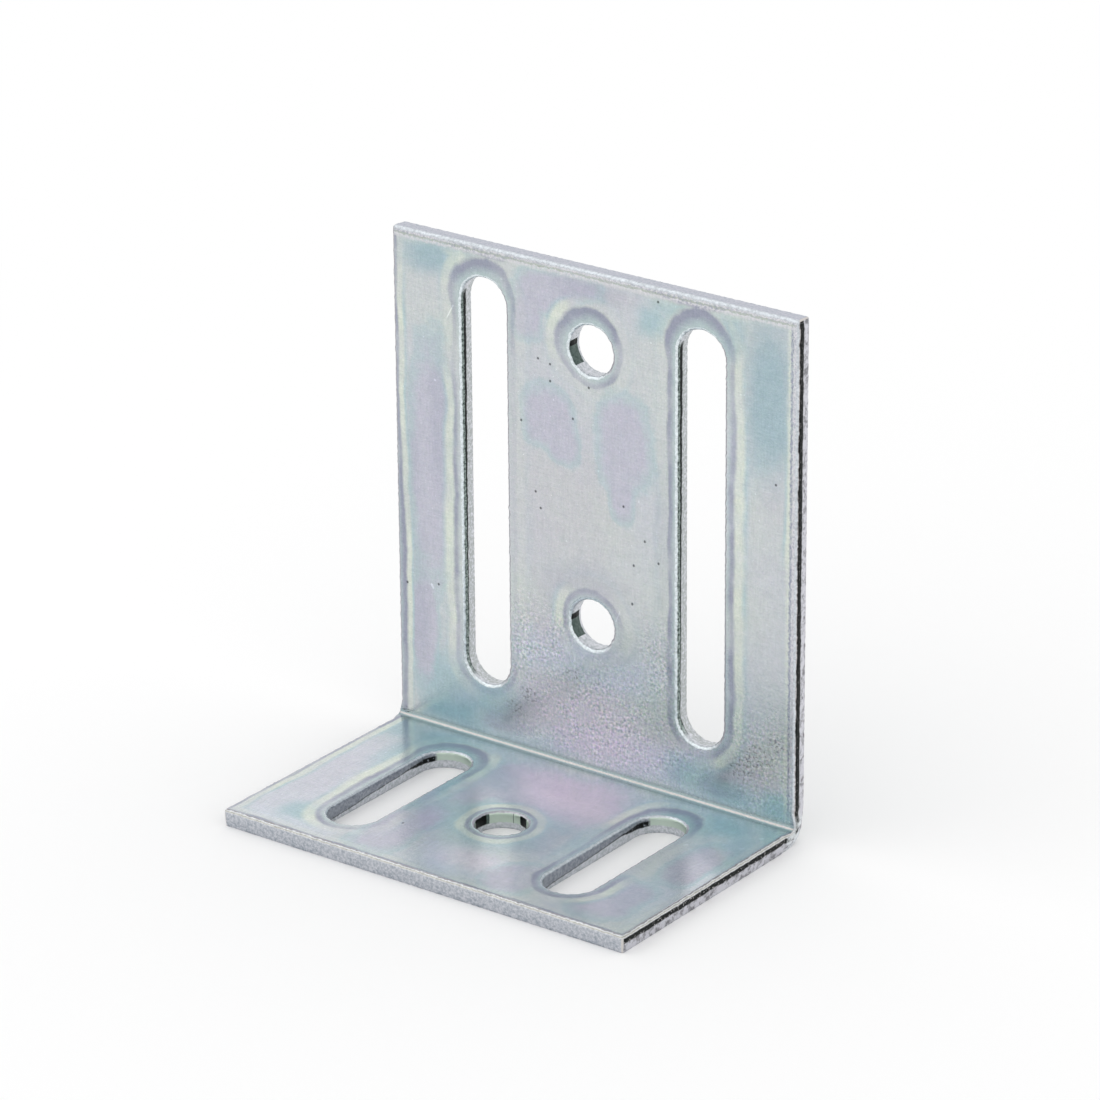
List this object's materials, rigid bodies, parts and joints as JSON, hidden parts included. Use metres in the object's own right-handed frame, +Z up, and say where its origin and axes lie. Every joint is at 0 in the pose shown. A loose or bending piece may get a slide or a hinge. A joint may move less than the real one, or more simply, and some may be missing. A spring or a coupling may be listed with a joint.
{
  "type": "angle bracket",
  "caption": "Folded sheet steel angle bracket with a tall slotted wall leg, a short slotted base leg and round fixing holes on the centre line.",
  "frame": {"origin": "middle of the underside of the whole bracket, on the surface that the base leg stands on", "axes": "+Z up along the wall leg; +Y towards the back of the wall leg; +X along the fold, to the right seen from the front"},
  "size_m": [0.0806, 0.05, 0.09],
  "materials": {
    "zinc_plated_steel": "bright zinc plating with a blue passivated film, semi-gloss, faint lilac and green tints"
  },
  "bodies": {
    "root": {"angle_bracket": "zinc_plated_steel"}
  },
  "joints": []
}
